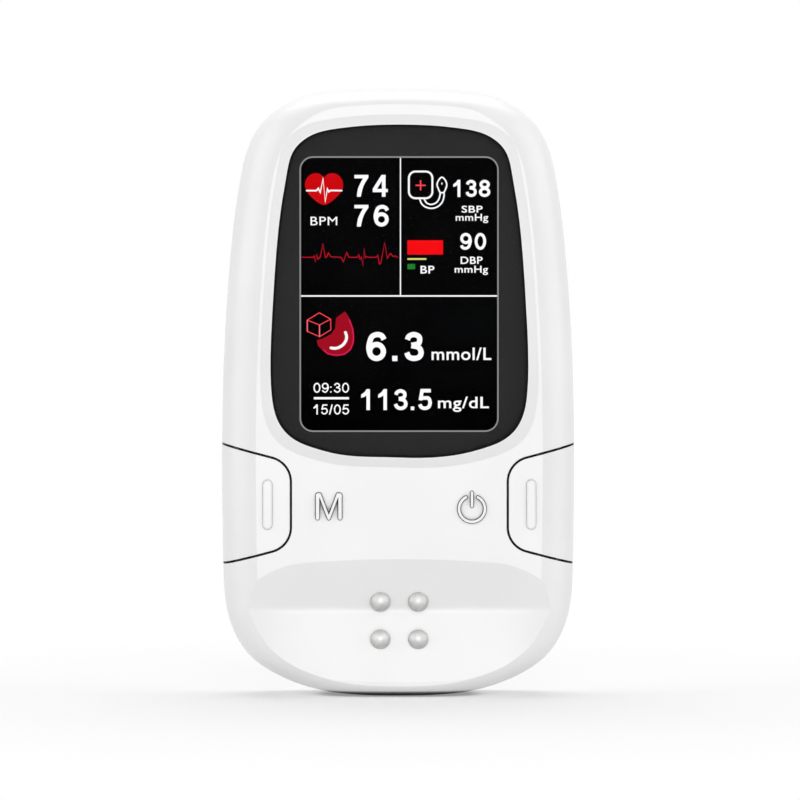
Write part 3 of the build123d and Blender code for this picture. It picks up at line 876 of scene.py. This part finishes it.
# A numeral's strokes in a box 1 tall, down from its upper left corner. Each entry is a ring, a
# bent line with flat ends, or a filled shape with holes.
def numeralParts(sign, weight):
    edge = weight / 2
    wide = numerals["wide"]
    middle = wide / 2
    if sign == "0":
        return [("ring", ellipsePath(middle, 0.5, middle - edge, 0.5 - edge))]
    if sign == "1":
        left, right = 0.5 - weight, 0.5
        flag = [(left, 0.3), (0.22, 0.37), (0.07, 0.42), (0.07, 0.42 - 0.9 * weight), (0.24, 0.14)]
        return [("shape", [[(right, 0.0), (right, 1.0), (left, 1.0), *flag, (0.34, 0.0)]])]
    if sign == "3":
        top = [(0.02 + edge, 0.27), (0.17, 0.15), (0.33, edge), (0.5, 0.15), (0.63 - edge, 0.28)]
        top += [(0.48, 0.41), (0.25, 0.46)]
        low = [(0.25, 0.47), (0.5, 0.53), (wide - edge, 0.7), (0.52, 0.86), (0.33, 1 - edge)]
        low += [(0.16, 0.85), (edge, 0.71)]
        return [("line", smoothPath(top)), ("line", smoothPath(low))]
    if sign == "4":
        left, right = 0.58 - 0.95 * weight, 0.58
        up, down = 0.79 - 0.85 * weight, 0.79
        outside = [(right - 1.05 * weight, 0.0), (right, 0.0), (right, up), (wide, up)]
        outside += [(wide, down), (right, down), (right, 1.0), (left, 1.0), (left, down)]
        outside += [(0.0, down), (0.0, up - 0.01)]
        hole = [(left, up), (left, 0.1 + weight), (left - 0.29 + 0.4 * weight, up)]
        return [("shape", [outside, hole])]
    if sign == "5":
        bar = [(0.63, 0.9 * edge), (0.2, 0.9 * edge), (0.03 + edge, 0.53)]
        bowl = [(0.03 + edge, 0.5), (0.2, 0.43), (0.35, 0.34 + edge), (0.52, 0.44)]
        bowl += [(wide - edge, 0.65), (0.52, 0.85), (0.33, 1 - edge), (0.16, 0.86), (edge, 0.73)]
        return [("line", bar), ("line", smoothPath(bowl))]
    if sign in "69":
        ring = ellipsePath(0.35, 0.67, wide - 0.35 - edge, 0.33 - edge)
        back = [(0.64 - edge * 0.3, 0.26), (0.53, 0.13), (0.36, edge), (0.18, 0.18)]
        back += [(edge, 0.45), (edge, 0.62), (0.14, 0.8)]
        parts = [("ring", ring), ("line", smoothPath(back))]
        if sign == "9":
            parts = [(kind, [(wide - x, 1 - y) for x, y in path]) for kind, path in parts]
        return parts
    if sign == "7":
        top = [(0.03, 0.0), (wide - 0.02, 0.0), (wide - 0.02, 0.75 * weight)]
        stem = smoothPath([(0.66, 0.75 * weight), (0.5, 0.38), (0.39, 0.66), (0.14 + weight, 1.0)])
        back = smoothPath([(0.14, 1.0), (0.18, 0.68), (0.28, 0.42), (0.42, 0.9 * weight)])
        return [("shape", [[*top, *stem[1:], *back, (0.03, 0.9 * weight)]])]
    if sign == "8":
        upper = ellipsePath(middle, 0.27, 0.31 - edge, 0.27 - edge)
        lower = ellipsePath(middle, 0.71, middle - edge, 0.29 - edge)
        return [("ring", upper), ("ring", lower)]
    if sign == ".":
        return [("shape", [boxLoop(0.0, 1 - weight, weight, 1.0)])]
    if sign == ":":
        low = boxLoop(0.0, 0.98 - weight, weight, 0.98)
        return [("shape", [low, [(x, y - 0.48) for x, y in low]])]
    return [("line", [(0.04, 1.0), (0.3, 0.0)])]


# A row of numerals that fills its box: left, up, right, down in mm
def makeNumber(name, signs, box, weight, gap):
    left, up, right, down = box
    tall = down - up
    advances = [numerals["narrow"].get(sign, numerals["wide"]) + gap for sign in signs]
    shift = numerals["oneShift"] if signs[0] == "1" else 0.0
    starts = [sum(advances[:index]) - shift for index in range(len(signs))]
    stretch = (right - left) / (sum(advances) - gap - shift)
    work = bmesh.new()
    for sign, start in zip(signs, starts):
        for kind, path in numeralParts(sign, weight):
            loops = [
                [(left + (start + x) * stretch, up + y * tall) for x, y in shape]
                for shape in (path if kind == "shape" else [path])
            ]
            if kind == "shape":
                part = meshFromLoops(name + "Part", loops)
                work.from_mesh(part)
                bpy.data.meshes.remove(part)
            else:
                addLine(work, loops[0], weight * tall, kind == "ring")
    mesh = bpy.data.meshes.new(name)
    work.to_mesh(mesh)
    work.free()
    placeOnDisplay(name, mesh, "white")


# Letters: their spacing, and how much each outline grows, in shares of their body size
letters = dict(spacing=1.07, bolder=0.012, resolution=5)


# A name or unit that fills its box: left, up, right, down in mm
def makeText(name, body, box, bolder=letters["bolder"]):
    data = bpy.data.curves.new(name + "Letters", "FONT")
    data.body = body
    data.size = 1.0
    data.offset = bolder
    data.space_character = letters["spacing"]
    data.extrude = 0.5
    data.resolution_u = letters["resolution"]
    mesh = meshFromDrawing(name, data)
    bpy.data.curves.remove(data)
    across = [vertex.co.x for vertex in mesh.vertices]
    upright = [vertex.co.y for vertex in mesh.vertices]
    left, up, right, down = box
    scaleAcross = mm(right - left) / (max(across) - min(across))
    scaleUp = mm(down - up) / (max(upright) - min(upright))
    fit = Matrix(
        (
            (scaleAcross, 0, 0, mm(left) - min(across) * scaleAcross),
            (0, scaleUp, 0, -mm(up) - max(upright) * scaleUp),
            (0, 0, mm(display["thickness"]), 0),
            (0, 0, 0, 1),
        )
    )
    mesh.transform(fit)
    placeOnDisplay(name, mesh, "white")


# Thin grey line round the lit area, just inside the printed border
inset = display["frameLine"]
innerBox = (inset, inset, display["width"] - inset, display["height"] - inset)
outerLoop = roundedLoop(0.0, 0.0, display["width"], display["height"], display["corner"])
innerLoop = roundedLoop(*innerBox, display["corner"] - inset)
drawLoops("screenFrame", [outerLoop, innerLoop], "grey")

# Two dividers: the upright one ends on the level one
dividers = dict(level=24.76, thick=0.25, upright=17.91, uprightThick=0.2)
levelUp = dividers["level"] - dividers["thick"] / 2
levelDown = dividers["level"] + dividers["thick"] / 2
uprightLeft = dividers["upright"] - dividers["uprightThick"] / 2
uprightRight = dividers["upright"] + dividers["uprightThick"] / 2
levelBar = boxLoop(inset, levelUp, display["width"] - inset, levelDown)
uprightBar = boxLoop(uprightLeft, inset, uprightRight, levelUp - tolerance)
drawLoops("screenDividers", [levelBar, uprightBar], "white")

# Values: the numerals, their box on the screen in mm (left, up, right, down), their weight and gap
screenNumbers = dict(
    pulseValue=("74", (9.64, 3.31, 15.66, 7.18), 0.175, 0.18),
    pulseMean=("76", (9.64, 8.62, 15.84, 12.46), 0.175, 0.22),
    upperPressure=("138", (27.27, 4.18, 33.82, 7.22), 0.17, 0.14),
    lowerPressure=("90", (28.51, 13.59, 33.09, 16.58), 0.17, 0.18),
    glucoseValue=("6.3", (11.89, 31.13, 22.03, 36.3), 0.18, 0.22),
    glucoseOther=("113.5", (10.95, 41.27, 23.47, 44.99), 0.17, 0.16),
    clockTime=("09:30", (2.48, 40.14, 8.8, 41.92), 0.13, 0.13),
    calendarDay=("15/05", (2.48, 43.98, 8.8, 45.78), 0.13, 0.13),
)
for name, (signs, box, weight, gap) in screenNumbers.items():
    makeNumber(name, signs, box, weight, gap)

# Names and units: what each says, and its box on the screen in mm. The last value is how much
# bolder than plain letters it is, where that isn't the usual amount.
screenTexts = dict(
    pulseUnit=("BPM", (1.98, 10.72, 6.71, 12.23), 0.0),
    upperName=("SBP", (28.76, 8.76, 32.47, 10.0)),
    upperUnit=("mmHg", (27.7, 10.2, 33.47, 11.84)),
    lowerName=("DBP", (28.58, 17.79, 32.47, 19.08)),
    lowerUnit=("mmHg", (27.52, 19.4, 33.43, 21.04)),
    pressureName=("BP", (21.47, 19.41, 23.93, 20.78)),
    glucoseUnit=("mmol/L", (23.43, 33.89, 34.03, 36.14)),
    otherUnit=("mg/dL", (24.56, 42.61, 33.59, 45.32)),
)
for name, words in screenTexts.items():
    makeText(name, *words)

# The rule between time and day, and the bars that show as red, yellow and green how high the
# pressure is
screenBars = dict(
    clockRule=((2.55, 42.68, 8.78, 43.08), "white"),
    redBar=((19.15, 14.88, 25.46, 17.42), "red"),
    yellowBar=((19.15, 18.06, 22.5, 18.36), "yellow"),
    greenBar=((19.15, 19.08, 20.5, 20.02), "green"),
)
for name, (box, glow) in screenBars.items():
    drawLoops(name, [boxLoop(*box)], glow)

# Heart with a pulse line across it. The half outline is in shares of the heart's half width and
# of its height.
heart = dict(
    middle=4.37,
    up=3.0,
    halfWidth=3.37,
    height=5.6,
    half=[
        (0.0, 0.16),
        (0.1, 0.08),
        (0.26, 0.015),
        (0.45, 0.0),
        (0.66, 0.03),
        (0.85, 0.12),
        (0.97, 0.25),
        (1.0, 0.38),
        (0.95, 0.52),
        (0.82, 0.65),
        (0.6, 0.79),
        (0.36, 0.91),
        (0.16, 0.98),
        (0.0, 1.0),
    ],
    pulseWidth=0.28,
    pulse=[
        (1.29, 6.1),
        (3.04, 6.1),
        (3.35, 5.7),
        (3.71, 6.41),
        (4.2, 3.94),
        (4.58, 8.05),
        (4.96, 5.79),
        (5.22, 6.31),
        (5.51, 6.07),
        (7.5, 6.1),
    ],
)
rightHalf = smoothPath(heart["half"])
leftHalf = [(-share, level) for share, level in rightHalf[-2:0:-1]]
heartLoop = [
    (heart["middle"] + share * heart["halfWidth"], heart["up"] + level * heart["height"])
    for share, level in rightHalf + leftHalf
]
drawLoops("heartSign", [heartLoop], "heartRed")
drawLines("heartPulse", [heart["pulse"]], heart["pulseWidth"], "white", layer=1)

# Trace of the heartbeat
trace = dict(
    width=0.17,
    points=[
        (0.51, 17.9),
        (2.47, 17.9),
        (2.64, 17.64),
        (2.83, 18.71),
        (3.07, 17.41),
        (3.28, 18.24),
        (3.71, 17.81),
        (4.16, 15.51),
        (4.61, 17.95),
        (4.84, 17.88),
        (5.13, 17.12),
        (5.6, 17.81),
        (7.38, 17.9),
        (7.78, 18.71),
        (8.4, 17.05),
        (8.78, 17.9),
        (10.34, 17.9),
        (10.53, 17.41),
        (10.75, 18.24),
        (10.98, 17.88),
        (11.27, 19.42),
        (11.46, 16.34),
        (11.67, 18.0),
        (11.95, 17.76),
        (12.24, 17.9),
        (13.66, 17.9),
        (13.9, 17.53),
        (14.18, 19.11),
        (14.42, 18.97),
        (15.11, 15.32),
        (15.56, 18.07),
        (16.17, 17.22),
        (16.62, 17.79),
        (16.98, 17.64),
        (17.41, 17.95),
    ],
)
drawLines("heartTrace", [trace["points"]], trace["width"], "traceRed")

# Arm cuff with a cross, its bulb, and the doubled tube between them
cuff = dict(
    box=(19.23, 2.54, 23.74, 7.62),
    corner=1.35,
    line=0.34,
    cross=(21.48, 5.16),
    crossReach=0.9,
    crossLine=0.24,
    bulb=[
        (25.26, 3.72),
        (25.85, 4.25),
        (26.12, 5.02),
        (25.93, 5.75),
        (25.58, 6.4),
        (24.96, 6.4),
        (24.62, 5.75),
        (24.4, 5.02),
        (24.67, 4.25),
    ],
    tubeOutside=[
        (25.6, 6.36),
        (25.62, 7.1),
        (25.3, 8.15),
        (24.44, 8.97),
        (23.33, 9.23),
        (22.31, 8.97),
        (21.62, 8.35),
        (21.31, 7.5),
    ],
    tubeInside=[
        (24.95, 6.36),
        (24.9, 6.98),
        (24.66, 7.72),
        (24.14, 8.3),
        (23.33, 8.54),
        (22.55, 8.26),
        (22.05, 7.5),
    ],
    tubeLine=0.26,
    pip=(25.25, 4.85, 0.1, 0.22),  # its middle, half width and half height
    pipSteps=12,
)
left, up, right, down = cuff["box"]
line = cuff["line"]
innerBox = (left + line, up + line, right - line, down - line)
outerLoop = roundedLoop(*cuff["box"], cuff["corner"])
innerLoop = roundedLoop(*innerBox, cuff["corner"] - line)
drawLoops("cuffSign", [outerLoop, innerLoop], "white")
across, level = cuff["cross"]
reach = cuff["crossReach"]
thin = cuff["crossLine"] / 2
crossLoop = [
    (across - thin, level - reach),
    (across + thin, level - reach),
    (across + thin, level - thin),
    (across + reach, level - thin),
    (across + reach, level + thin),
    (across + thin, level + thin),
    (across + thin, level + reach),
    (across - thin, level + reach),
    (across - thin, level + thin),
    (across - reach, level + thin),
    (across - reach, level - thin),
    (across - thin, level - thin),
]
drawLoops("cuffCross", [crossLoop], "coral")
bulbPath = smoothPath(cuff["bulb"], True)
drawLines("cuffBulb", [bulbPath], cuff["tubeLine"], "white", closed=True, roundEnds=False)
tubePaths = [smoothPath(cuff[name]) for name in ("tubeOutside", "tubeInside")]
drawLines("cuffTube", tubePaths, cuff["tubeLine"], "white", layer=1)
drawLoops("cuffPip", [ellipsePath(*cuff["pip"], cuff["pipSteps"])], "white")

# Drop with a bright crescent and a rosy rim, and the outline of a sugar cube beside it
drop = dict(
    outline=[
        (8.09, 27.49),
        (6.5, 28.63),
        (6.31, 30.57),
        (5.6, 31.52),
        (4.06, 32.35),
        (3.07, 32.58),
        (3.28, 33.53),
        (3.9, 34.2),
        (5.0, 35.15),
        (6.55, 35.43),
        (8.09, 35.19),
        (9.16, 34.31),
        (9.63, 33.18),
        (9.75, 31.99),
        (9.58, 30.57),
        (9.16, 29.38),
        (8.64, 28.32),
    ],
    rim=[
        (4.3, 34.3),
        (5.1, 34.95),
        (6.55, 35.22),
        (7.98, 35.0),
        (8.98, 34.2),
        (9.44, 33.1),
        (9.56, 31.99),
        (9.4, 30.6),
        (9.0, 29.45),
        (8.75, 28.9),
    ],
    rimLine=0.22,
    shine=[
        (8.16, 31.23),
        (8.35, 31.87),
        (8.26, 32.58),
        (7.78, 33.35),
        (7.02, 33.87),
        (6.27, 34.04),
        (5.6, 33.96),
    ],
    shineLine=0.5,
)
drawLoops("dropSign", [drop["outline"]], "deepRed")
drawLines("dropRim", [smoothPath(drop["rim"])], drop["rimLine"], "rose", layer=1)
drawLines("dropShine", [smoothPath(drop["shine"])], drop["shineLine"], "white", layer=2)

cube = dict(
    line=0.14,
    outline=[
        (3.54, 27.73),
        (1.4, 29.03),
        (1.4, 31.02),
        (3.57, 31.97),
        (5.58, 30.76),
        (5.54, 28.86),
    ],
    middle=(3.56, 29.91),
    brightLine=0.2,
)
corners = cube["outline"]
drawLines("cubeOutline", [corners], cube["line"], "coral", closed=True, roundEnds=False)
ridges = [corners[1], cube["middle"], corners[5]]
drawLines("cubeRidges", [ridges], cube["line"], "coral", layer=1)
brightEdges = [[corners[1], corners[2]], [cube["middle"], corners[3]]]
drawLines("cubeBrightEdges", brightEdges, cube["brightLine"], "pink", layer=2)
print("screen drawn")

# Camera: a long lens in front, a little to the left, at half the meter's height (metres, degrees)
cameraView = dict(
    distance=1.6,
    azimuth=-1.1,
    elevation=1.2,
    aim=(0.00035, 0.0, 0.05242),
    frameWidth=0.1427,  # width of the view where the meter stands
    sensorWidth=36.0,   # mm
    clip=(0.05, 20.0),
)


def makeCamera(view):
    data = bpy.data.cameras.new("camera")
    data.sensor_width = view["sensorWidth"]
    data.lens = data.sensor_width * view["distance"] / view["frameWidth"]
    camera = bpy.data.objects.new("camera", data)
    bpy.context.scene.collection.objects.link(camera)
    turn = math.radians(view["azimuth"])
    lift = math.radians(view["elevation"])
    back = Vector(
        (math.sin(turn) * math.cos(lift), -math.cos(turn) * math.cos(lift), math.sin(lift))
    )
    camera.location = Vector(view["aim"]) + back * view["distance"]
    camera.rotation_mode = "QUATERNION"
    camera.rotation_quaternion = (-back).to_track_quat("-Z", "Y")
    data.clip_start, data.clip_end = view["clip"]
    bpy.context.scene.camera = camera


makeCamera(cameraView)

# Lamps are squares that face the meter: place and size in metres
lamps = dict(
    keyLamp=dict(place=(0.15, -1.0, 1.1), size=1.3, energy=1.7),
    frontLamp=dict(place=(0.03, -2.4, 0.37), size=0.74, energy=19.8),
    leftLamp=dict(place=(-1.2, -0.1, 0.35), size=1.4, energy=8.0),
    rightLamp=dict(place=(1.2, -0.1, 0.35), size=1.4, energy=7.9),
    topLamp=dict(place=(0.0, 0.5, 1.2), size=1.2, energy=9.8),
)
studio = dict(
    lampAim=(0.0, 0.0, 0.05),
    skyStrength=0.22,         # of the white surroundings, as a light
    floorSize=6.0,
    fibres=2.0,               # mm, of the paper
    fibreShade=0.99,
    bounceColour="#c8c8c8",   # what the meter is lit by
    backShare=0.6,            # share of the floor's light that comes through it from below
    backStrength=0.75,
    floorColour="#fdfdfd",    # what the camera sees
    whiteFrom=0.04,           # metres from the meter at which the floor starts to fade to white
    whiteTo=0.24,
    whiteShare=0.26,          # the fade's share under the meter
    narrowing=1.6,            # the fade is quicker to the sides
)


def makeAreaLight(name, lamp):
    data = bpy.data.lights.new(name, "AREA")
    data.shape = "SQUARE"
    data.size = lamp["size"]
    data.energy = lamp["energy"]
    holder = bpy.data.objects.new(name, data)
    bpy.context.scene.collection.objects.link(holder)
    holder.location = lamp["place"]
    holder.rotation_mode = "QUATERNION"
    way = Vector(studio["lampAim"]) - Vector(lamp["place"])
    holder.rotation_quaternion = way.to_track_quat("-Z", "Y")


for name, lamp in lamps.items():
    makeAreaLight(name, lamp)


# One for the rays that show the background: the camera's, reflected ones and those through glass
def addBackgroundRays(tree):
    path = addNode(tree, "ShaderNodeLightPath")
    straight = addNode(
        tree,
        "ShaderNodeMath",
        settings={"operation": "MAXIMUM"},
        links={0: (path, "Is Camera Ray"), 1: (path, "Is Glossy Ray")},
    )
    return addNode(
        tree,
        "ShaderNodeMath",
        settings={"operation": "MAXIMUM"},
        links={0: (straight, "Value"), 1: (path, "Is Transmission Ray")},
    )


# White to the camera, in reflections and through the window, and dimmer as a light
def makeWorld(strength):
    world = bpy.data.worlds.new("studioWhite")
    bpy.context.scene.world = world
    world.use_nodes = True
    tree = world.node_tree
    tree.nodes.clear()
    seen = addBackgroundRays(tree)
    level = addNode(
        tree,
        "ShaderNodeMapRange",
        values={"To Min": strength, "To Max": 1.0},
        links={"Value": (seen, "Value")},
    )
    background = addNode(
        tree,
        "ShaderNodeBackground",
        values={"Color": white},
        links={"Strength": (level, "Result")},
    )
    addNode(tree, "ShaderNodeOutputWorld", links={"Surface": (background, "Background")})


makeWorld(studio["skyStrength"])


# White paper that fades into the background away from the meter, and that lights the meter from
# below in a tone of its own
def makePaper():
    material, tree = newMaterial("uncoatedWhitePaper")
    place = addNode(tree, "ShaderNodeTexCoord")
    fibres = addNode(
        tree,
        "ShaderNodeTexNoise",
        values={"Scale": patternScale(studio["fibres"]), "Detail": shading["grainDetail"]},
        links={"Vector": (place, "Object")},
    )
    papers = []
    for name in ("bounceColour", "floorColour"):
        tone = addNode(tree, "ShaderNodeValToRGB", links={"Fac": (fibres, "Fac")})
        paper = colourFromHex(studio[name])
        shaded = (*(channel * studio["fibreShade"] for channel in paper[:3]), 1.0)
        setRamp(tone, [(shading["low"], shaded), (shading["high"], paper)])
        papers.append(addNode(tree, "ShaderNodeBsdfDiffuse", links={"Color": (tone, "Color")}))
    lightingPaper, seenPaper = papers
    lit = addNode(tree, "ShaderNodeEmission", values={"Color": white})
    flattened = addNode(
        tree,
        "ShaderNodeMapping",
        values={"Scale": (studio["narrowing"], 1.0, 1.0)},
        links={"Vector": (place, "Object")},
    )
    distance = addNode(
        tree,
        "ShaderNodeVectorMath",
        settings={"operation": "LENGTH"},
        links={"Vector": (flattened, "Vector")},
    )
    fade = addNode(
        tree,
        "ShaderNodeMapRange",
        settings={"interpolation_type": "SMOOTHSTEP"},
        values={
            "From Min": studio["whiteFrom"],
            "From Max": studio["whiteTo"],
            "To Min": studio["whiteShare"],
        },
        links={"Value": (distance, "Value")},
    )
    seen = addNode(
        tree,
        "ShaderNodeMixShader",
        links={0: (fade, "Result"), 1: (seenPaper, "BSDF"), 2: (lit, "Emission")},
    )
    below = addNode(tree, "ShaderNodeEmission", values={"Strength": studio["backStrength"]})
    bounce = addNode(
        tree,
        "ShaderNodeMixShader",
        values={0: studio["backShare"]},
        links={1: (lightingPaper, "BSDF"), 2: (below, "Emission")},
    )
    both = addNode(
        tree,
        "ShaderNodeMixShader",
        links={0: (addBackgroundRays(tree), "Value"), 1: (bounce, "Shader"), 2: (seen, "Shader")},
    )
    finishMaterial(tree, both, "Shader")
    return material


def makeFloor():
    work = bmesh.new()
    bmesh.ops.create_grid(work, x_segments=1, y_segments=1, size=studio["floorSize"] / 2)
    mesh = bpy.data.meshes.new("floor")
    work.to_mesh(mesh)
    work.free()
    mesh.materials.append(makePaper())
    floor = bpy.data.objects.new("floor", mesh)
    bpy.context.scene.collection.objects.link(floor)


makeFloor()
bpy.context.scene.view_settings.view_transform = "Standard"
print("studio done")
